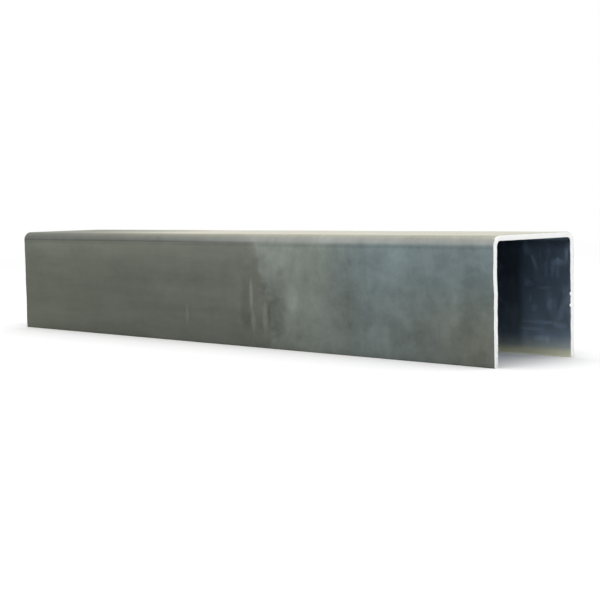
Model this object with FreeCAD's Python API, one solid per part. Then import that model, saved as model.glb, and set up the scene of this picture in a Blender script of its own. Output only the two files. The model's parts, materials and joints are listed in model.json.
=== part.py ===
"""Horse stall channel: a cut length of U-channel folded from galvanized steel sheet.

Frame, in millimetres: X along the length, Y across the web, Z up. The channel stands mouth down on
its two leg tips, web on top. The origin is on the floor, under the middle of the web.
"""

import FreeCAD
import Part
import math
import os

# Driving dimensions
LENGTH = 279.4  # cut length, 11 in
SLOT_WIDTH = 41.28  # clear width between the legs, 1 5/8 in, for boards 1 1/2 in thick
LEG_HEIGHT = 44.45  # from the leg tips to the web's outer face, 1 3/4 in
SHEET = 1.99  # 14 gauge galvanized sheet
BEND_INSIDE = 1.6  # inside radius of both bends, 1/16 in
SLIT_EDGE_ROUND = 0.35  # radius on both corners of each leg tip, left by the slitter
CUT_EDGE_BREAK = 0.2  # bevel round both sawn ends

# The most of the sheet's thickness that the rounding or the bevel of one corner may take
ROUND_SHARE = 0.4
BREAK_SHARE = 0.25
IN_PLANE = 1e-6  # how close to a plane an edge that lies in it has to be

# Worked out from them
WIDTH = SLOT_WIDTH + 2 * SHEET
BEND_OUTSIDE = BEND_INSIDE + SHEET


def point(y, z):
    """A point of the cross-section, in the plane of the channel's far end."""
    return FreeCAD.Vector(-LENGTH / 2, y, z)


def arc(centre_y, centre_z, radius, from_degrees, to_degrees):
    """A circular edge of the cross-section. Angles run from +Y towards +Z."""
    angles = [from_degrees, (from_degrees + to_degrees) / 2, to_degrees]
    through = [
        point(
            centre_y + radius * math.cos(math.radians(angle)),
            centre_z + radius * math.sin(math.radians(angle)),
        )
        for angle in angles
    ]
    return Part.Arc(*through).toShape()


def line(start, end):
    """A straight edge of the cross-section between two (y, z) places."""
    return Part.LineSegment(point(*start), point(*end)).toShape()


def right_half():
    """The cross-section's edges on the +Y side, from the web's outer face round to its inner face."""
    outside, inside = WIDTH / 2, SLOT_WIDTH / 2
    bend_y, bend_z = outside - BEND_OUTSIDE, LEG_HEIGHT - BEND_OUTSIDE
    top, ceiling = LEG_HEIGHT, LEG_HEIGHT - SHEET
    tip = min(SLIT_EDGE_ROUND, SHEET * ROUND_SHARE)
    return [
        line((0, top), (bend_y, top)),
        arc(bend_y, bend_z, BEND_OUTSIDE, 90, 0),
        line((outside, bend_z), (outside, tip)),
        arc(outside - tip, tip, tip, 0, -90),
        line((outside - tip, 0), (inside + tip, 0)),
        arc(inside + tip, tip, tip, -90, -180),
        line((inside, tip), (inside, bend_z)),
        arc(bend_y, bend_z, BEND_INSIDE, 0, 90),
        line((bend_y, ceiling), (0, ceiling)),
    ]


def cross_section():
    """The closed U-shaped face that the whole length shares."""
    half = Part.Wire(right_half())
    other_half = half.mirror(FreeCAD.Vector(0, 0, 0), FreeCAD.Vector(0, 1, 0))
    outline = Part.Wire(Part.__sortEdges__(half.Edges + other_half.Edges))
    return Part.Face(outline)


def end_edges(solid):
    """Every edge that lies in the plane of one of the two sawn ends."""
    return [
        edge
        for edge in solid.Edges
        if edge.BoundBox.XLength < IN_PLANE and abs(abs(edge.BoundBox.XMin) - LENGTH / 2) < IN_PLANE
    ]


def channel():
    """The folded channel, with its sawn ends' sharp edges broken."""
    folded = cross_section().extrude(FreeCAD.Vector(LENGTH, 0, 0)).removeSplitter()
    edge_break = min(CUT_EDGE_BREAK, SHEET * BREAK_SHARE)
    return folded.makeChamfer(edge_break, end_edges(folded))


os.makedirs("parts", exist_ok=True)
solid = channel()
solid.exportStep("parts/stall_channel.step")

flat_width = 2 * (LEG_HEIGHT - BEND_OUTSIDE) + WIDTH - 2 * BEND_OUTSIDE
flat_width += math.pi * (BEND_INSIDE + SHEET / 2)
print("valid", solid.isValid(), "solids", len(solid.Solids), "box", solid.BoundBox)
print("volume", round(solid.Volume, 1), "against", round(flat_width * SHEET * LENGTH, 1))
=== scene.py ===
"""Horse stall channel: the look of a short cut length folded from galvanized sheet steel.

Metres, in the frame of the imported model: X along the length with the near end at +X, Y across the
web, Z up, the two leg tips on the floor. The sheet is laid out flat, waved, trimmed and then folded
over both bends by a Geometry Nodes tree. Its finish is painted in the flat sheet's own coordinates.
"""

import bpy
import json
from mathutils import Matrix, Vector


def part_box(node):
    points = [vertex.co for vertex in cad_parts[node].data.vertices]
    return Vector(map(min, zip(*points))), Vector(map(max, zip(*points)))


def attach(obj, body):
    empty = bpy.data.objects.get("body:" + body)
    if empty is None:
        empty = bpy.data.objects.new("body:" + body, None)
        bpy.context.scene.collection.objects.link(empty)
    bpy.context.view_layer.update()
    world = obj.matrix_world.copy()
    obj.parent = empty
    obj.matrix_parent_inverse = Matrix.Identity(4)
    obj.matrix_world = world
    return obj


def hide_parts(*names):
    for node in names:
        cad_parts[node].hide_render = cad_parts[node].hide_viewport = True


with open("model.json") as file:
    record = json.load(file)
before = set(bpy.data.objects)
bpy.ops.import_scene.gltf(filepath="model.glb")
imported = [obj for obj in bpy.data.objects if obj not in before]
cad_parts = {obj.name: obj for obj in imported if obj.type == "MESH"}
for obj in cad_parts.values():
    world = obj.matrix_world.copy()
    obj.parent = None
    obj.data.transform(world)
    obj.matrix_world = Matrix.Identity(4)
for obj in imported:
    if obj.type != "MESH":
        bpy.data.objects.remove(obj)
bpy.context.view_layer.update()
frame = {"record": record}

import json
from math import pi, radians

import bpy
from bpy.props import FloatProperty, FloatVectorProperty, IntProperty, PointerProperty
from bpy.types import Operator, Panel, PropertyGroup
from mathutils import Euler, Vector

bl_info = {
    "name": "Horse Stall Channel",
    "version": (1, 0, 0),
    "blender": (4, 5, 0),
    "location": "3D View > Sidebar > Stall Channel",
    "description": "Makes a cut length of folded galvanized channel and the studio round it",
    "category": "Add Mesh",
}

NODE = "stall_channel"
MM = 0.001
QUARTER_TURN = pi / 2
WHITE = (1.0, 1.0, 1.0)

LOW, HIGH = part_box(NODE)
MOUNT_HEIGHT = {mount["name"]: mount["pos_m"][2] for mount in frame["record"]["mounts"]}
SHEET_THICKNESS = MOUNT_HEIGHT["web_face"] - MOUNT_HEIGHT["slot_floor"]


# ---------------------------------------------------------------- settings


class ChannelSizes(PropertyGroup):
    """Sizes of the folded sheet and of the marks that cutting and folding leave on it."""

    length: FloatProperty(
        name="Length", description="Cut length along X", default=HIGH.x - LOW.x, unit="LENGTH"
    )
    width: FloatProperty(
        name="Width", description="Over the outside of both legs", default=HIGH.y - LOW.y, unit="LENGTH"
    )
    height: FloatProperty(
        name="Leg height", description="Leg tips to the top of the web", default=HIGH.z - LOW.z, unit="LENGTH"
    )
    sheet: FloatProperty(
        name="Sheet", description="Thickness of the sheet", default=SHEET_THICKNESS, unit="LENGTH"
    )
    bend_inside: FloatProperty(
        name="Bend radius", description="Inside radius of both bends", default=1.6 * MM, unit="LENGTH"
    )
    slit_round: FloatProperty(
        name="Slit edge radius", description="Rounding of the leg tips' corners", default=0.35 * MM,
        unit="LENGTH",
    )
    cut_bevel: FloatProperty(
        name="Cut edge bevel", description="Bevel round both sawn ends", default=0.2 * MM, unit="LENGTH"
    )
    waviness: FloatProperty(
        name="Waviness", description="Gentle waves of the rolled sheet", default=0.12 * MM, unit="LENGTH"
    )
    raggedness: FloatProperty(
        name="Raggedness", description="Unevenness of the sawn ends", default=1.0 * MM, unit="LENGTH"
    )
    burr: FloatProperty(
        name="Burr", description="How far the saw's burrs stand off the inner edge", default=1.2 * MM,
        unit="LENGTH",
    )
    seed: IntProperty(name="Seed", description="Picks the pattern of waves and ragged edges", default=7)


class ZincColours(PropertyGroup):
    """Colours of the galvanized skins and of the bare cut metal, with the painted highlight and reflection
    colours among them.
    """

    olive: FloatVectorProperty(
        name="Olive zinc", description="Dull zinc towards the far end", subtype="COLOR",
        default=(0.119, 0.128, 0.109),
    )
    pale: FloatVectorProperty(
        name="Pale zinc", description="Rubbed zinc round the middle", subtype="COLOR",
        default=(0.171, 0.192, 0.172),
    )
    blue: FloatVectorProperty(
        name="Blue zinc", description="Fresh zinc towards the near end", subtype="COLOR",
        default=(0.138, 0.173, 0.176),
    )
    # Partly painted: the zinc's own colour, with a blue tint that is a painted reflection of bluish light
    # inside the channel.
    inner: FloatVectorProperty(
        name="Inner zinc", description="Dark clean zinc inside the channel", subtype="COLOR",
        default=(0.330, 0.420, 0.530),
    )
    # Painted reflection: the lit floor seen in the inner skin along the leg tips, painted as pale cream zinc.
    reflected_floor_colour: FloatVectorProperty(
        name="Mouth zinc", description="Inner zinc rubbed bright along the leg tips", subtype="COLOR",
        default=(0.68, 0.67, 0.50),
    )
    # Painted highlight: the web's zinc painted lighter and creamier to stand in for its glancing reflection
    # of the light above.
    web: FloatVectorProperty(
        name="Web zinc", description="Cleaner, creamier zinc on the web", subtype="COLOR",
        default=(0.262, 0.257, 0.205),
    )
    # Painted highlight: a greyer, dimmer painted highlight colour for the bends and the web's far end.
    bend: FloatVectorProperty(
        name="Bend zinc", description="Greyer zinc round the bends and at the web's far end", subtype="COLOR",
        default=(0.236, 0.248, 0.236),
    )
    sheen: FloatVectorProperty(
        name="Glancing sheen", description="Tint of the zinc seen at a glancing angle", subtype="COLOR",
        default=(1.0, 0.985, 0.86),
    )
    cut: FloatVectorProperty(
        name="Cut metal", description="Bright metal of the sawn ends", subtype="COLOR",
        default=(0.80, 0.81, 0.80),
    )


class StudioSettings(PropertyGroup):
    """The camera, the lamps and the floor."""

    camera_place: FloatVectorProperty(
        name="Camera place", description="Where the camera stands", subtype="TRANSLATION",
        default=(0.4451, -0.4070, 0.0589),
    )
    camera_heading: FloatProperty(
        name="Heading", description="Turn from +Y towards -X", subtype="ANGLE", default=radians(46.07)
    )
    camera_tilt: FloatProperty(
        name="Tilt", description="Below level", subtype="ANGLE", default=radians(4.06)
    )
    camera_roll: FloatProperty(
        name="Roll", description="Clockwise lean of the camera", subtype="ANGLE", default=radians(1.15)
    )
    lens: FloatProperty(name="Lens", description="Focal length on a 36 mm sensor", default=88.03)
    overhead: FloatProperty(
        name="Overhead light", description="Power of the large light above", subtype="POWER", default=2.2
    )
    side: FloatProperty(
        name="Side light", description="Power of the light beyond the near end", subtype="POWER", default=0.35
    )
    surround: FloatProperty(
        name="Surround", description="Brightness of the white room", default=1.0
    )
    floor: FloatVectorProperty(
        name="Floor", description="Colour of the floor", subtype="COLOR", default=(0.90, 0.90, 0.90)
    )


# ---------------------------------------------------------------- writing node trees


class Wiring:
    """Adds nodes to one tree and joins them, so that a formula reads in one line."""

    def __init__(self, tree):
        self.tree = tree

    def node(self, kind, inputs=None, **settings):
        made = self.tree.nodes.new(kind)
        for name, value in settings.items():
            setattr(made, name, value)
        for key, value in (inputs or {}).items():
            self.feed(made.inputs[key], value)
        return made

    def feed(self, socket, value):
        if isinstance(value, bpy.types.NodeSocket):
            self.tree.links.new(value, socket)
        elif value is not None:
            socket.default_value = value

    def math(self, operation, *values):
        return self.node("ShaderNodeMath", dict(enumerate(values)), operation=operation).outputs[0]

    def total(self, *values):
        result = values[0]
        for value in values[1:]:
            result = self.math("ADD", result, value)
        return result

    def ramp(self, value, start, end, low=0.0, high=1.0, smooth=False):
        inputs = {0: value, 1: start, 2: end, 3: low, 4: high}
        kind = "SMOOTHSTEP" if smooth else "LINEAR"
        return self.node("ShaderNodeMapRange", inputs, interpolation_type=kind).outputs[0]

    def bump_at(self, value, centre, half_width):
        """1 at the centre, smoothly down to 0 a half width away on either side."""
        away = self.math("ABSOLUTE", self.math("SUBTRACT", value, centre))
        return self.ramp(away, half_width, 0.0, smooth=True)

    def vector(self, x=0.0, y=0.0, z=0.0):
        return self.node("ShaderNodeCombineXYZ", {0: x, 1: y, 2: z}).outputs[0]

    def scaled(self, vector, *factors):
        inputs = {0: vector, 1: factors}
        return self.node("ShaderNodeVectorMath", inputs, operation="MULTIPLY").outputs[0]

    def noise(self, vector, detail=2.0, roughness=0.5, distortion=0.0):
        inputs = {
            "Vector": vector, "Scale": 1.0, "Detail": detail, "Roughness": roughness,
            "Distortion": distortion,
        }
        return self.node("ShaderNodeTexNoise", inputs, noise_dimensions="3D").outputs[0]

    def mix_number(self, factor, first, second):
        return self.node("ShaderNodeMix", {0: factor, 2: first, 3: second}).outputs[0]

    def mix(self, factor, first, second, blend="MIX"):
        made = self.node("ShaderNodeMix", data_type="RGBA", blend_type=blend)
        self.feed(made.inputs[0], factor)
        self.feed(made.inputs[6], first)
        self.feed(made.inputs[7], second)
        return made.outputs[2]


# ---------------------------------------------------------------- the folded sheet

WEB_CELLS = 16  # across half the web
BEND_CELLS = 14  # round each bend
LEG_CELLS = 96  # down each leg
LENGTH_CELLS = 152
SHEET_CELLS = 4  # through the thickness
HALF_CELLS = WEB_CELLS + BEND_CELLS + LEG_CELLS

FACES_THAT_WAY = 0.5  # least part of a face's normal along an axis for it to face along it

# Noise cells: to the metre along the sheet and across it, and from one seed to the next
WAVE_CELLS = (22.0, 34.0, 1.0)
SEED_STEP = 0.1

# Noise cells of a sawn end: to the metre across the sheet and through it, and from end to end
SLOW_RAGGED_CELLS = (110.0, 110.0, 3.0)
QUICK_RAGGED_CELLS = (620.0, 620.0, 5.0)
QUICK_SHARE = 0.3
RAGGED_THROUGH = 0.5 * MM  # from the sheet's middle to its face, as the noise sees it
RAGGED_REACH = 3.0 * MM  # how far back from a sawn end its unevenness fades out

BURR_HEIGHTS = (22.6 * MM, 18.5 * MM)  # of the two burrs, above the right leg's tip at the near end
BURR_HALF_LENGTH = 0.95 * MM
BURR_REACH = 0.5 * MM  # how far back from the sawn end a burr fades out

TREE_INPUTS = ("length", "width", "height", "sheet", "bend_inside", "slit_round", "cut_bevel",
               "waviness", "raggedness", "burr", "seed")


def sheet_tree(materials):
    """The tree that lays out the sheet, gives it its marks and folds it into a channel."""
    tree = bpy.data.node_groups.new("folded_sheet", "GeometryNodeTree")
    tree.interface.new_socket("Sheet", in_out="OUTPUT", socket_type="NodeSocketGeometry")
    for name in TREE_INPUTS:
        tree.interface.new_socket(name, in_out="INPUT", socket_type="NodeSocketFloat")
    wire = Wiring(tree)
    size = wire.node("NodeGroupInput").outputs
    blank = wire.node(
        "GeometryNodeMeshCube",
        {"Size": (2.0, 2.0, 2.0), "Vertices X": LENGTH_CELLS + 1, "Vertices Y": 2 * HALF_CELLS + 1,
         "Vertices Z": SHEET_CELLS + 1},
    ).outputs["Mesh"]
    position = wire.node("GeometryNodeInputPosition").outputs[0]
    corner = wire.node("ShaderNodeSeparateXYZ", {0: position}).outputs
    flat = flat_layout(wire, size, corner)
    sheet_place = wire.vector(flat["x"], flat["s"], corner[2])
    blank = remember(wire, blank, "FLOAT_VECTOR", "POINT", "blank", sheet_place)
    blank = remember(wire, blank, "FLOAT", "POINT", "from_sawn_end", flat["end"])
    facing = wire.node("GeometryNodeInputNormal").outputs[0]
    blank = remember(wire, blank, "FLOAT_VECTOR", "FACE", "facing", facing)
    place = folded_place(wire, size, flat)
    folded = wire.node("GeometryNodeSetPosition", {"Geometry": blank, "Position": place}).outputs[0]
    smooth = wire.node("GeometryNodeSetShadeSmooth", {"Geometry": folded}).outputs[0]
    shape = wire.node("GeometryNodeRealizeInstances", {"Geometry": smooth}).outputs[0]
    for chosen, material in zip(face_choices(wire), materials, strict=True):
        inputs = {"Geometry": shape, "Selection": chosen, "Material": material}
        shape = wire.node("GeometryNodeSetMaterial", inputs).outputs[0]
    wire.node("NodeGroupOutput", {0: shape})
    return tree


def remember(wire, geometry, data_type, domain, name, value):
    """Keeps a value on the mesh under a name."""
    made = wire.node("GeometryNodeStoreNamedAttribute", data_type=data_type, domain=domain)
    wire.feed(made.inputs["Geometry"], geometry)
    wire.feed(made.inputs["Name"], name)
    wire.feed(made.inputs["Value"], value)
    return made.outputs[0]


def face_choices(wire):
    """Picks the outer skin, the inner skin, the sawn ends and the slit edges, in that order."""
    facing = wire.node("GeometryNodeInputNamedAttribute", {"Name": "facing"}, data_type="FLOAT_VECTOR")
    x, y, z = wire.node("ShaderNodeSeparateXYZ", {0: facing.outputs[0]}).outputs
    outer = wire.math("GREATER_THAN", z, FACES_THAT_WAY)
    inner = wire.math("LESS_THAN", z, -FACES_THAT_WAY)
    sawn = wire.math("GREATER_THAN", wire.math("ABSOLUTE", x), FACES_THAT_WAY)
    slit = wire.math("GREATER_THAN", wire.math("ABSOLUTE", y), FACES_THAT_WAY)
    return outer, inner, sawn, slit


def flat_layout(wire, size, corner):
    """Where each corner of the grid lies on the flat sheet: x along it, s across it, n off its middle."""
    half_length = wire.math("MULTIPLY", size["length"], 0.5)
    x_turn = wire.math("MULTIPLY", corner[0], QUARTER_TURN)
    x = wire.math("MULTIPLY", half_length, wire.math("SINE", x_turn))
    side = wire.math("SIGN", corner[1])
    cells = wire.math("MULTIPLY", wire.math("ABSOLUTE", corner[1]), float(HALF_CELLS))
    bend_outside = wire.math("ADD", size["bend_inside"], size["sheet"])
    bend_middle = wire.math("MULTIPLY_ADD", size["sheet"], 0.5, size["bend_inside"])
    web = wire.math("MULTIPLY_ADD", size["width"], 0.5, wire.math("MULTIPLY", bend_outside, -1.0))
    arc = wire.math("MULTIPLY", bend_middle, QUARTER_TURN)
    leg = wire.math("SUBTRACT", size["height"], bend_outside)
    on_web = wire.ramp(cells, 0.0, WEB_CELLS, 0.0, web)
    on_bend = wire.ramp(cells, WEB_CELLS, WEB_CELLS + BEND_CELLS, 0.0, arc)
    leg_turn = wire.ramp(cells, WEB_CELLS + BEND_CELLS, HALF_CELLS, 0.0, QUARTER_TURN)
    on_leg = wire.math("MULTIPLY", leg, wire.math("SINE", leg_turn))
    across = wire.total(on_web, on_bend, on_leg)
    edge = wire.math("SUBTRACT", wire.total(web, arc, leg), across)
    end = wire.math("SUBTRACT", half_length, wire.math("ABSOLUTE", x))
    s = wire.math("MULTIPLY", across, side)
    above_tip = wire.math("SUBTRACT", leg, on_leg)
    n = wire.total(
        thickness_offset(wire, size, corner, edge, end), sheet_wave(wire, size, x, s),
        burr_offset(wire, size, corner, x, above_tip, end),
    )
    return {
        "x": ragged_end(wire, size, corner, x, s, end), "s": s, "n": n, "side": side, "across": across,
        "end": end, "web": web, "arc": arc, "bend_outside": bend_outside, "bend_middle": bend_middle,
    }


def thickness_offset(wire, size, corner, edge, end):
    """Off the middle of the sheet, less where the slit edges are rounded and the sawn ends bevelled."""
    half_sheet = wire.math("MULTIPLY", size["sheet"], 0.5)
    radius = size["slit_round"]
    inwards = wire.math("SUBTRACT", radius, wire.math("MINIMUM", edge, radius))
    radius_squared = wire.math("MULTIPLY", radius, radius)
    rise_squared = wire.math("SUBTRACT", radius_squared, wire.math("MULTIPLY", inwards, inwards))
    rounding = wire.math("SUBTRACT", radius, wire.math("SQRT", rise_squared))
    bevel = wire.math("SUBTRACT", size["cut_bevel"], wire.math("MINIMUM", end, size["cut_bevel"]))
    reach = wire.math("SUBTRACT", half_sheet, wire.total(rounding, bevel))
    return wire.math("MULTIPLY", corner[2], reach)


def sheet_wave(wire, size, x, s):
    """The rolled sheet's gentle waves, a few centimetres long."""
    place = wire.vector(x, s, wire.math("MULTIPLY", size["seed"], SEED_STEP))
    wave = wire.noise(wire.scaled(place, *WAVE_CELLS), detail=1.5)
    swing = wire.math("MULTIPLY", size["waviness"], 2.0)
    return wire.math("MULTIPLY", wire.math("SUBTRACT", wave, 0.5), swing)


def ragged_end(wire, size, corner, x, s, end):
    """Moves the sawn ends inwards here and there, fading out a few millimetres in."""
    towards_end = wire.math("SIGN", x)
    place = wire.vector(s, wire.math("MULTIPLY", corner[2], RAGGED_THROUGH), towards_end)
    slow = wire.noise(wire.scaled(place, *SLOW_RAGGED_CELLS), detail=1.0)
    quick = wire.noise(wire.scaled(place, *QUICK_RAGGED_CELLS))
    bite = wire.math("MULTIPLY_ADD", quick, QUICK_SHARE, wire.math("MULTIPLY", slow, 1.0 - QUICK_SHARE))
    fade = wire.ramp(end, 0.0, RAGGED_REACH, 1.0, 0.0)
    inwards = wire.math("MULTIPLY", wire.math("MULTIPLY", bite, fade), size["raggedness"])
    return wire.math("SUBTRACT", x, wire.math("MULTIPLY", inwards, towards_end))


def burr_offset(wire, size, corner, x, above_tip, end):
    """Two burrs that the saw pushed off the inner edge of the near end's right leg."""
    bumps = wire.total(*(wire.bump_at(above_tip, place, BURR_HALF_LENGTH) for place in BURR_HEIGHTS))
    shares = (
        bumps,
        wire.ramp(end, BURR_REACH, 0.0, smooth=True),
        wire.math("GREATER_THAN", corner[1], 0.0),
        wire.math("GREATER_THAN", x, 0.0),
        wire.ramp(corner[2], 0.0, -1.0),
    )
    lift = wire.math("MULTIPLY", size["burr"], -1.0)
    for share in shares:
        lift = wire.math("MULTIPLY", lift, share)
    return lift


def folded_place(wire, size, flat):
    """Folds a point of the flat sheet over the bend on its own side."""
    past_web = wire.math("SUBTRACT", flat["across"], flat["web"])
    turn = wire.math("DIVIDE", past_web, flat["bend_middle"])
    turn = wire.math("MINIMUM", wire.math("MAXIMUM", turn, 0.0), QUARTER_TURN)
    radius = wire.math("ADD", flat["bend_middle"], flat["n"])
    level = wire.math("MINIMUM", flat["across"], flat["web"])
    y = wire.math("MULTIPLY_ADD", radius, wire.math("SINE", turn), level)
    down = wire.math("MAXIMUM", wire.math("SUBTRACT", past_web, flat["arc"]), 0.0)
    bend_centre = wire.math("SUBTRACT", size["height"], flat["bend_outside"])
    z = wire.math("MULTIPLY_ADD", radius, wire.math("COSINE", turn), wire.math("SUBTRACT", bend_centre, down))
    return wire.vector(flat["x"], wire.math("MULTIPLY", y, flat["side"]), z)


# ---------------------------------------------------------------- finishes


def new_metal(name):
    """A material with one metallic shader, its wiring and the flat sheet's coordinates."""
    material = bpy.data.materials.new(name)
    material.use_nodes = True
    material.node_tree.nodes.clear()
    wire = Wiring(material.node_tree)
    shader = wire.node("ShaderNodeBsdfPrincipled", {"Metallic": 1.0})
    wire.node("ShaderNodeOutputMaterial", {"Surface": shader.outputs[0]})
    flat = wire.node("ShaderNodeAttribute", attribute_name="blank").outputs["Vector"]
    return material, wire, shader, flat


def add_relief(wire, shader, height, distance):
    """Bump that stands the distance, in metres, off the surface where the height is 1."""
    bump = wire.node("ShaderNodeBump", {"Strength": 1.0, "Distance": distance, "Height": height})
    wire.feed(shader.inputs["Normal"], bump.outputs[0])


def rgba(colour):
    return (*colour, 1.0)


def darkened(wire, colour, factor):
    """A colour times a number."""
    return wire.mix(1.0, colour, wire.vector(factor, factor, factor), blend="MULTIPLY")


def bare_bevel(wire, skin, colours, sizes):
    """Bare cut metal on the bevel round a sawn end, and the skin's own colour everywhere else."""
    end = wire.node("ShaderNodeAttribute", attribute_name="from_sawn_end").outputs["Fac"]
    bare = wire.ramp(end, sizes.cut_bevel, sizes.cut_bevel / 2)
    return wire.mix(bare, skin, rgba(colours.cut))


class SheetPlaces:
    """Where the web ends and the legs begin, measured across the flat sheet from its middle."""

    def __init__(self, sizes):
        bend_outside = sizes.bend_inside + sizes.sheet
        self.web_end = sizes.width / 2 - bend_outside
        self.leg_start = self.web_end + (sizes.bend_inside + sizes.sheet / 2) * QUARTER_TURN
        self.tip = self.leg_start + sizes.height - bend_outside


PALE_START = 24.0 * MM  # along X, where the rubbed zinc starts
PALE_END = 62.0 * MM
BLUE_START = 66.0 * MM

# Patterns of the outer skin: noise cells to the metre along the sheet and across it, and through
# it, then the detail, roughness and distortion of the noise
OUTER_PATTERNS = {
    "cloud": ((40.0, 30.0, 3.0), 4.0, 0.65),
    "blotch": ((64.0, 80.0, 5.0), 6.0, 0.66, 0.2),
    "mottle": ((240.0, 190.0, 5.0), 5.0, 0.7),
    "band": ((24.0, 150.0, 5.0), 4.0, 0.6),
    "rolled": ((14.0, 3600.0, 9.0), 2.0),
    "grain": ((1500.0, 1500.0, 5.0), 2.0),
}
# How much a pattern lightens and darkens the zinc where it is calm and where it is lively
CALM_AND_LIVELY = {
    "cloud": (0.05, 0.15), "band": (0.09, 0.02), "blotch": (0.04, 0.15), "mottle": (0.03, 0.075),
}

INNER_PATTERNS = {
    "blotch": ((70.0, 70.0, 5.0), 4.0, 0.6),
    "scuff": ((230.0, 120.0, 5.0), 5.0, 0.6, 0.5),
    "rolled": ((14.0, 2600.0, 9.0), 2.0),
}
SAWN_PATTERNS = {
    "scratch": ((200.0, 5200.0, 0.4), 3.0, 0.6),
    "patch": ((200.0, 260.0, 0.5), 2.0),
}
SLIT_PATTERNS = {
    "line": ((16.0, 16.0, 5.0), 3.0),
    "patch": ((160.0, 160.0, 1.0), 3.0),
}

BRIGHTEST_INNER_TONE = 1.75  # times the inner zinc's colour, for scuffs and the painted light near the sawn ends alike; its blue clips a little above this
REFLECTED_FLOOR_TONE = 1.58  # times the colour of the painted floor reflection along the leg tips

OUTER_RELIEF = 0.012 * MM
INNER_RELIEF = 0.010 * MM
CUT_RELIEF = 0.02 * MM

# Wiped marks on the left leg's outside, in millimetres but for the last: place along X, place
# below the web's top, half length, half height, strength
RUB_MARKS = (
    (18.6, 24.0, 1.1, 7.0, 0.36),
    (19.6, 34.0, 1.3, 4.5, 0.30),
    (26.4, 32.0, 1.7, 7.0, 0.32),
    (41.5, 24.5, 4.2, 7.0, 0.25),
    (38.0, 10.0, 15.0, 9.0, 0.16),
    (-21.0, 33.0, 1.0, 4.5, 0.25),
    (14.8, 29.0, 3.4, 11.0, -0.15),
    (33.0, 31.0, 6.0, 9.0, -0.26),
    (35.5, 14.5, 3.2, 2.6, -0.20),
    (76.0, 27.0, 9.0, 9.0, -0.14),
    (96.0, 34.0, 5.0, 6.0, -0.14),
    (131.0, 22.0, 9.0, 14.0, -0.16),
)
# Scuffs on the right leg's inside, in the same order
SCUFFS = (
    (125.6, 9.0, 0.9, 2.6, 0.34),
    (128.4, 13.5, 0.8, 3.6, 0.34),
    (131.2, 12.5, 0.9, 4.2, 0.34),
    (133.4, 13.5, 0.8, 3.2, 0.34),
    (120.6, 19.0, 2.4, 1.3, 0.36),
    (127.6, 20.0, 3.6, 0.8, 0.28),
    (123.0, 27.5, 1.5, 1.4, 0.38),
    (121.4, 24.0, 0.8, 1.8, 0.30),
    (125.0, 32.6, 8.0, 0.8, 0.36),
    (122.0, 35.2, 6.0, 0.7, 0.28),
    (134.4, 33.4, 3.4, 1.2, 0.30),
    (125.6, 38.4, 2.8, 1.2, 0.30),
    (128.8, 38.6, 1.2, 1.6, 0.34),
)


def patterns(wire, flat, wanted):
    """The noises of a table of patterns, by name."""
    return {name: wire.noise(wire.scaled(flat, *cells), *rest) for name, (cells, *rest) in wanted.items()}


def outer_zinc(colours, sizes):
    """Dull zinc: olive at the far end, rubbed pale past the middle, blue grey at the near end, with a painted
    highlight on the web and bends and painted shade down the legs.
    """
    material, wire, shader, flat = new_metal("galvanized_outer_skin")
    places = SheetPlaces(sizes)
    x, s, _ = wire.node("ShaderNodeSeparateXYZ", {0: flat}).outputs
    across = wire.math("ABSOLUTE", s)
    depth = wire.ramp(across, places.leg_start, places.tip)
    pattern = patterns(wire, flat, OUTER_PATTERNS)
    zones = outer_zones(wire, x, depth, pattern)
    colour = zoned_colour(wire, colours, zones, depth)
    # Painted highlight colours on the web and bends.
    colour = with_folded_top(wire, colour, colours, places, x, across)
    left_below_top = wire.math("MULTIPLY_ADD", s, -1.0, sizes.height - places.tip)
    marks = marks_tone(wire, x, left_below_top, RUB_MARKS, pattern["blotch"])
    # Painted highlight on the web and bends and painted shade down the legs, times the wiped marks.
    shade = wire.math("MULTIPLY", height_tone(wire, places, x, across, zones["blue"]), marks)
    tone = wire.math("MULTIPLY", patterned_tone(wire, places, pattern, zones, across), shade)
    skin = darkened(wire, colour, tone)
    wire.feed(shader.inputs["Base Color"], bare_bevel(wire, skin, colours, sizes))
    wire.feed(shader.inputs["Roughness"], outer_roughness(wire, places, pattern, x, across))
    shader.inputs["Specular Tint"].default_value = rgba(colours.sheen)
    relief = weighted(wire, pattern, {"grain": 0.35, "rolled": 0.25, "blotch": 1.6})
    add_relief(wire, shader, relief, OUTER_RELIEF)
    return material


def weighted(wire, pattern, weights, base=0.0):
    """A base plus so much of each pattern."""
    shares = (wire.math("MULTIPLY", pattern[name], weight) for name, weight in weights.items())
    return wire.total(base, *shares)


def patterned_tone(wire, places, pattern, zones, across):
    """How the patterns tone the outer skin: blotchy on the legs' near part, banded elsewhere."""
    on_leg = wire.ramp(across, places.web_end, places.leg_start + 1.0 * MM)
    lively = wire.math("MULTIPLY", on_leg, wire.ramp(zones["drift"], 0.0, PALE_START))
    swings = [
        wire.math("MULTIPLY", contrast(wire, pattern[name]), wire.ramp(lively, 0.0, 1.0, *amounts))
        for name, amounts in CALM_AND_LIVELY.items()
    ]
    return wire.total(weighted(wire, pattern, {"rolled": 0.06, "grain": 0.10}, 0.82), *swings)


def outer_roughness(wire, places, pattern, x, across):
    """The web is glossy at the near end and goes matt towards the far end. The legs are between."""
    web = wire.ramp(x, -30.0 * MM, -110.0 * MM, 0.12, 0.42)
    base = wire.mix_number(wire.ramp(across, places.web_end, places.leg_start), web, 0.24)
    return wire.total(base, weighted(wire, pattern, {"blotch": 0.14, "rolled": 0.06}))


def contrast(wire, noise):
    """Noise round a half, spread to run from -1 to 1."""
    return wire.ramp(noise, 0.30, 0.70, -1.0, 1.0)


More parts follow.
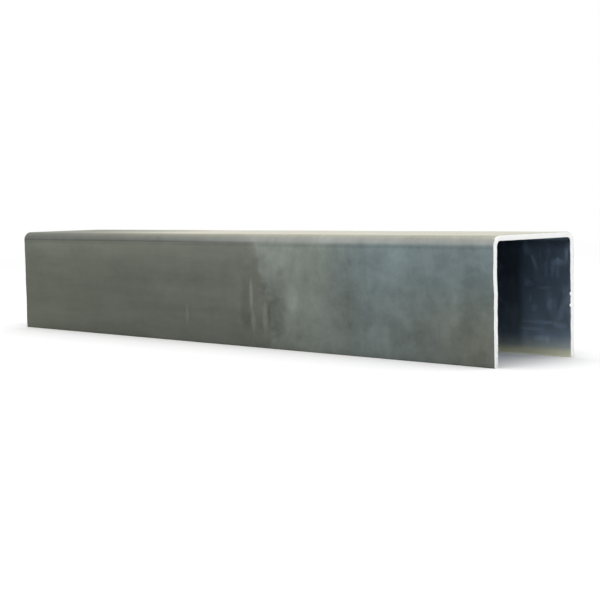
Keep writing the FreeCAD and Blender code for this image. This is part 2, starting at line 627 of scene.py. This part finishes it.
def outer_zones(wire, x, depth, pattern):
    """The pale and the blue stretch, with edges that wander. The pale one starts later down the legs."""
    wander = wire.total(
        wire.math("MULTIPLY", wire.math("SUBTRACT", pattern["cloud"], 0.5), 26.0 * MM),
        wire.math("MULTIPLY", wire.math("SUBTRACT", pattern["band"], 0.5), 12.0 * MM),
    )
    drift = wire.math("ADD", x, wander)
    late = wire.math("SUBTRACT", drift, wire.ramp(depth, 0.35, 0.75, 0.0, 7.0 * MM))
    rise = wire.ramp(late, PALE_START - 3.0 * MM, PALE_START + 3.0 * MM, smooth=True)
    creeping = wire.ramp(drift, -50.0 * MM, 12.0 * MM, 0.0, 0.16)
    fall = wire.ramp(drift, PALE_END + 14.0 * MM, PALE_END - 6.0 * MM, smooth=True)
    blue = wire.ramp(drift, BLUE_START - 16.0 * MM, BLUE_START + 18.0 * MM, smooth=True)
    pale = wire.math("MAXIMUM", wire.math("MULTIPLY", rise, fall), creeping)
    return {"drift": drift, "pale": pale, "blue": blue}


def zoned_colour(wire, colours, zones, depth):
    """Olive, pale or blue zinc along the legs; the blue goes olive towards the near end's foot."""
    colour = wire.mix(zones["pale"], rgba(colours.olive), rgba(colours.pale))
    olive_foot = wire.ramp(zones["drift"], 92.0 * MM, 128.0 * MM, 0.40, 1.0)
    washed = wire.math("MULTIPLY", olive_foot, wire.ramp(depth, 0.15, 0.80, smooth=True))
    bluish = wire.math("MULTIPLY", zones["blue"], wire.math("SUBTRACT", 1.0, washed))
    return wire.mix(bluish, colour, rgba(colours.blue))


def with_folded_top(wire, leg_colour, colours, places, x, across):
    """The web gets the painted cream highlight colour, going to the greyer, dimmer painted highlight colour
    over the bends and towards the far end.
    """
    down = wire.ramp(across, places.web_end, places.leg_start - 1.0 * MM)
    far = wire.ramp(x, -30.0 * MM, -100.0 * MM)
    top = wire.mix(wire.math("MAXIMUM", down, far), rgba(colours.web), rgba(colours.bend))
    on_top = wire.ramp(across, places.leg_start + 0.2 * MM, places.leg_start - 0.8 * MM, smooth=True)
    return wire.mix(on_top, leg_colour, top)


def height_tone(wire, places, x, across, blue):
    """Painted highlight on the web and bends, a thin darker line just below them, and painted shade darkening
    the legs downwards.
    """
    dark_line_below_bend = wire.bump_at(across, places.leg_start + 0.8 * MM, 0.7 * MM)
    # Painted shade: the legs darker below the bends and down towards the tips, less so in the blue stretch.
    painted_shade_below_bend = wire.ramp(across, places.leg_start, places.leg_start + 15.0 * MM, smooth=True)
    painted_shade_towards_tip = wire.ramp(across, places.leg_start, places.tip)
    painted_leg_shade = wire.math("MULTIPLY_ADD", painted_shade_towards_tip, 0.14, wire.math("MULTIPLY", painted_shade_below_bend, 0.28))
    leg = wire.total(
        1.32,
        wire.math("MULTIPLY", dark_line_below_bend, -0.16),
        wire.math("MULTIPLY", painted_leg_shade, wire.ramp(blue, 0.0, 1.0, -1.0, -0.6)),
    )
    on_leg = wire.ramp(across, places.leg_start - 0.3 * MM, places.leg_start + 0.3 * MM, smooth=True)
    return wire.mix_number(on_leg, painted_highlight_tone(wire, places, x, across), leg)


def painted_highlight_tone(wire, places, x, across):
    """Painted highlight: brightest where the web turns over, duller round the bend, and both dimmer towards
    the far end.
    """
    crest = wire.ramp(x, -110.0 * MM, 50.0 * MM, 0.92, 2.05)
    foot = wire.ramp(x, -40.0 * MM, 45.0 * MM, 0.60, 1.42)
    bend = wire.mix_number(wire.ramp(across, places.web_end, places.leg_start), crest, foot)
    web = wire.ramp(x, -100.0 * MM, -30.0 * MM, 1.05, 1.56)
    on_web = wire.ramp(across, places.web_end, places.web_end - 3.0 * MM, smooth=True)
    return wire.mix_number(on_web, bend, web)


def marks_tone(wire, x, below_top, marks, noise):
    """Brightens or darkens one leg in soft patches with torn edges."""
    tear = wire.math("MULTIPLY", wire.math("SUBTRACT", noise, 0.5), 1.5)
    tones = []
    for along, below, half_length, half_height, strength in marks:
        u = wire.math("DIVIDE", wire.math("SUBTRACT", x, along * MM), half_length * MM)
        v = wire.math("DIVIDE", wire.math("SUBTRACT", below_top, below * MM), half_height * MM)
        away = wire.node("ShaderNodeVectorMath", {0: wire.vector(u, v, 0.0)}, operation="LENGTH")
        torn = wire.math("ADD", away.outputs["Value"], tear)
        tones.append(wire.math("MULTIPLY", wire.ramp(torn, 1.15, 0.45, smooth=True), strength))
    return wire.total(1.0, *tones)


def inner_zinc(colours, sizes):
    """Dark clean zinc, painted light near the sawn ends, painted corner shade, scuffs, and a painted floor
    reflection at the tips.
    """
    material, wire, shader, flat = new_metal("galvanized_inner_skin")
    places = SheetPlaces(sizes)
    x, s, _ = wire.node("ShaderNodeSeparateXYZ", {0: flat}).outputs
    across = wire.math("ABSOLUTE", s)
    pattern = patterns(wire, flat, INNER_PATTERNS)
    pattern["scuffed"] = wire.ramp(pattern["scuff"], 0.47, 0.76, smooth=True)
    right_below_top = wire.math("ADD", s, sizes.height - places.tip)
    marks = marks_tone(wire, x, right_below_top, SCUFFS, pattern["scuff"])
    # Painted shade: darker into the inner corner of each bend.
    painted_corner_shade = wire.ramp(across, places.leg_start + 3.0 * MM, places.leg_start, 1.0, 0.5)
    shade = wire.math("MULTIPLY", marks, painted_corner_shade)
    tone = wire.math("MULTIPLY", inner_tone(wire, sizes, pattern, x), shade)
    # A painted reflection of the lit floor along the leg tips, in colour and in tone.
    floor_reflection_share = painted_tip_reflection(wire, places, across)
    tone = wire.math("MINIMUM", tone, BRIGHTEST_INNER_TONE)
    tone = wire.mix_number(wire.math("MULTIPLY", floor_reflection_share, 0.92), tone, REFLECTED_FLOOR_TONE)
    colour = wire.mix(floor_reflection_share, rgba(colours.inner), rgba(colours.reflected_floor_colour))
    skin = darkened(wire, colour, tone)
    wire.feed(shader.inputs["Base Color"], bare_bevel(wire, skin, colours, sizes))
    wire.feed(shader.inputs["Roughness"], weighted(wire, pattern, {"blotch": 0.14, "scuffed": 0.16}, 0.32))
    add_relief(wire, shader, weighted(wire, pattern, {"blotch": 1.4, "scuffed": 1.0}), INNER_RELIEF)
    return material


def inner_tone(wire, sizes, pattern, x):
    """Dark far inside, with painted light within a few centimetres of a sawn end, a little less of it at the
    end's edge.
    """
    end = wire.math("SUBTRACT", sizes.length / 2, wire.math("ABSOLUTE", x))
    wander = wire.math("MULTIPLY_ADD", pattern["blotch"], 5.0 * MM, end)
    # Painted light: the inner skin lighter where light comes in at the open ends.
    painted_light_near_end = wire.ramp(wander, 26.5 * MM, 22.5 * MM, 0.0, 0.70, smooth=True)
    at_edge = wire.ramp(end, 14.0 * MM, 0.0, 0.0, -0.18)
    return wire.total(
        weighted(wire, pattern, {"blotch": 0.42, "rolled": 0.10, "scuffed": 0.24}, 0.42), painted_light_near_end, at_edge
    )


def painted_tip_reflection(wire, places, across):
    """How far the inner skin gets a painted reflection of the lit floor: from 7.5 mm above a leg tip, fully
    in the last millimetre.
    """
    return wire.math(
        "ADD", wire.ramp(across, places.tip - 7.5 * MM, places.tip - 2.5 * MM, 0.0, 0.55),
        wire.ramp(across, places.tip - 3.2 * MM, places.tip - 1.2 * MM, 0.0, 0.45),
    )


def sawn_metal(colours):
    """Bright metal with the saw's fine scratches across the sheet."""
    material, wire, shader, flat = new_metal("sawn_end")
    pattern = patterns(wire, flat, SAWN_PATTERNS)
    tone = weighted(wire, pattern, {"scratch": 0.16, "patch": 0.12}, 0.84)
    wire.feed(shader.inputs["Base Color"], darkened(wire, rgba(colours.cut), tone))
    wire.feed(shader.inputs["Roughness"], weighted(wire, pattern, {"patch": 0.2}, 0.30))
    add_relief(wire, shader, pattern["scratch"], CUT_RELIEF)
    return material


def slit_metal(colours):
    """The leg tips: slit edges, zinc coated thinly, with lines along them."""
    material, wire, shader, flat = new_metal("slit_edge")
    pattern = patterns(wire, flat, SLIT_PATTERNS)
    tone = weighted(wire, pattern, {"line": 0.45, "patch": 0.45}, 0.95)
    wire.feed(shader.inputs["Base Color"], darkened(wire, rgba(colours.pale), tone))
    wire.feed(shader.inputs["Roughness"], weighted(wire, pattern, {"patch": 0.2}, 0.32))
    add_relief(wire, shader, pattern["line"], CUT_RELIEF)
    return material


# ---------------------------------------------------------------- operators


OVERHEAD_PLACE = Vector((0.05, -0.05, 0.80))
OVERHEAD_WIDTH = 0.6
SIDE_PLACE = Vector((0.75, 0.55, 0.30))
SIDE_WIDTH = 0.45


class STALL_OT_studio(Operator):
    """Sets up the camera, the white room, the soft lamps and the pale floor"""

    bl_idname = "stall.studio"
    bl_label = "Studio"

    def execute(self, context):
        settings = context.scene.stall_studio
        context.scene.view_settings.view_transform = "Standard"
        add_camera(context, settings)
        light_room(context, settings)
        add_lamp(context, "overhead_light", settings.overhead, OVERHEAD_WIDTH, OVERHEAD_PLACE)
        add_lamp(context, "side_light", settings.side, SIDE_WIDTH, SIDE_PLACE)
        add_floor(context, settings)
        return {"FINISHED"}


def add_camera(context, settings):
    """A camera turned from +Y by its heading, then tilted down and rolled."""
    data = bpy.data.cameras.new("camera")
    data.lens = settings.lens
    camera = bpy.data.objects.new("camera", data)
    heading = Euler((0.0, 0.0, settings.camera_heading)).to_matrix()
    tilt = Euler((QUARTER_TURN - settings.camera_tilt, 0.0, 0.0)).to_matrix()
    roll = Euler((0.0, 0.0, -settings.camera_roll)).to_matrix()
    camera.matrix_world = (heading @ tilt @ roll).to_4x4()
    camera.location = settings.camera_place
    context.scene.collection.objects.link(camera)
    context.scene.camera = camera


def light_room(context, settings):
    """A plain white room."""
    world = bpy.data.worlds.new("white_room")
    world.use_nodes = True
    world.node_tree.nodes.clear()
    wire = Wiring(world.node_tree)
    inputs = {"Color": rgba(WHITE), "Strength": settings.surround}
    room = wire.node("ShaderNodeBackground", inputs)
    wire.node("ShaderNodeOutputWorld", {"Surface": room.outputs[0]})
    context.scene.world = world


def add_lamp(context, name, power, width, place):
    """A square soft lamp that looks at the middle of the floor."""
    data = bpy.data.lights.new(name, "AREA")
    data.energy = power
    data.size = width
    lamp = bpy.data.objects.new(name, data)
    lamp.location = place
    lamp.rotation_euler = (-place).to_track_quat("-Z", "Y").to_euler()
    context.scene.collection.objects.link(lamp)


FLOOR_HALF = 6.0
FLOOR_FADE = (0.35, 1.2)  # metres out, from the lit floor to the room's white


def add_floor(context, settings):
    """A large square floor under the channel."""
    mesh = bpy.data.meshes.new("floor")
    corners = [(x * FLOOR_HALF, y * FLOOR_HALF, 0.0) for x, y in ((-1, -1), (1, -1), (1, 1), (-1, 1))]
    mesh.from_pydata(corners, [], [(0, 1, 2, 3)])
    mesh.materials.append(floor_paint(settings))
    floor = bpy.data.objects.new("floor", mesh)
    context.scene.collection.objects.link(floor)


def floor_paint(settings):
    """Matt pale paint that melts into the white room further out."""
    material = bpy.data.materials.new("floor_paint")
    material.use_nodes = True
    material.node_tree.nodes.clear()
    wire = Wiring(material.node_tree)
    paint = wire.node("ShaderNodeBsdfDiffuse", {"Color": rgba(settings.floor)}).outputs[0]
    inputs = {"Color": rgba(WHITE), "Strength": settings.surround}
    glow = wire.node("ShaderNodeEmission", inputs).outputs[0]
    place = wire.node("ShaderNodeTexCoord").outputs["Object"]
    away = wire.node("ShaderNodeVectorMath", {0: place}, operation="LENGTH").outputs["Value"]
    fade = wire.ramp(away, *FLOOR_FADE, smooth=True)
    mixed = wire.node("ShaderNodeMixShader", {0: fade, 1: paint, 2: glow}).outputs[0]
    wire.node("ShaderNodeOutputMaterial", {"Surface": mixed})
    return material


class STALL_OT_channel(Operator):
    """Folds the sheet into the channel and gives it its zinc and its bright sawn ends"""

    bl_idname = "stall.channel"
    bl_label = "Channel"

    def execute(self, context):
        sizes = context.scene.stall_sizes
        colours = context.scene.stall_colours
        materials = (
            outer_zinc(colours, sizes), inner_zinc(colours, sizes), sawn_metal(colours), slit_metal(colours),
        )
        piece = grown_from_tree(context, "channel_sheet", sheet_tree(materials), sizes)
        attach(piece, "root")
        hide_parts(NODE)
        return {"FINISHED"}


def grown_from_tree(context, name, tree, sizes):
    """A plain mesh object, made by a tree whose inputs are set from the sizes."""
    piece = bpy.data.objects.new(name, bpy.data.meshes.new(name + "_seed"))
    context.scene.collection.objects.link(piece)
    modifier = piece.modifiers.new(name, "NODES")
    modifier.node_group = tree
    for item in tree.interface.items_tree:
        if item.in_out == "INPUT":
            modifier[item.identifier] = float(getattr(sizes, item.name))
    graph = context.evaluated_depsgraph_get()
    mesh = bpy.data.meshes.new_from_object(piece.evaluated_get(graph))
    mesh.name = name
    piece.modifiers.clear()
    piece.data = mesh
    return piece


class STALL_PT_panel(Panel):
    """Lists the pieces, their sizes and their colours"""

    bl_idname = "STALL_PT_panel"
    bl_label = "Stall Channel"
    bl_space_type = "VIEW_3D"
    bl_region_type = "UI"
    bl_category = "Stall Channel"

    def draw(self, context):
        scene = context.scene
        for operator, settings in (
            (STALL_OT_studio, (scene.stall_studio,)),
            (STALL_OT_channel, (scene.stall_sizes, scene.stall_colours)),
        ):
            box = self.layout.box()
            box.operator(operator.bl_idname)
            for group in settings:
                for name in group.__annotations__:
                    box.prop(group, name)


CLASSES = (ChannelSizes, ZincColours, StudioSettings, STALL_OT_studio, STALL_OT_channel, STALL_PT_panel)
GROUPS = {"stall_sizes": ChannelSizes, "stall_colours": ZincColours, "stall_studio": StudioSettings}


def register():
    for made in CLASSES:
        bpy.utils.register_class(made)
    for name, group in GROUPS.items():
        setattr(bpy.types.Scene, name, PointerProperty(type=group))


def unregister():
    for name in GROUPS:
        delattr(bpy.types.Scene, name)
    for made in reversed(CLASSES):
        bpy.utils.unregister_class(made)


def main():
    """Makes the studio and the channel."""
    register()
    bpy.ops.stall.studio()
    bpy.ops.stall.channel()


if __name__ == "__main__":
    main()
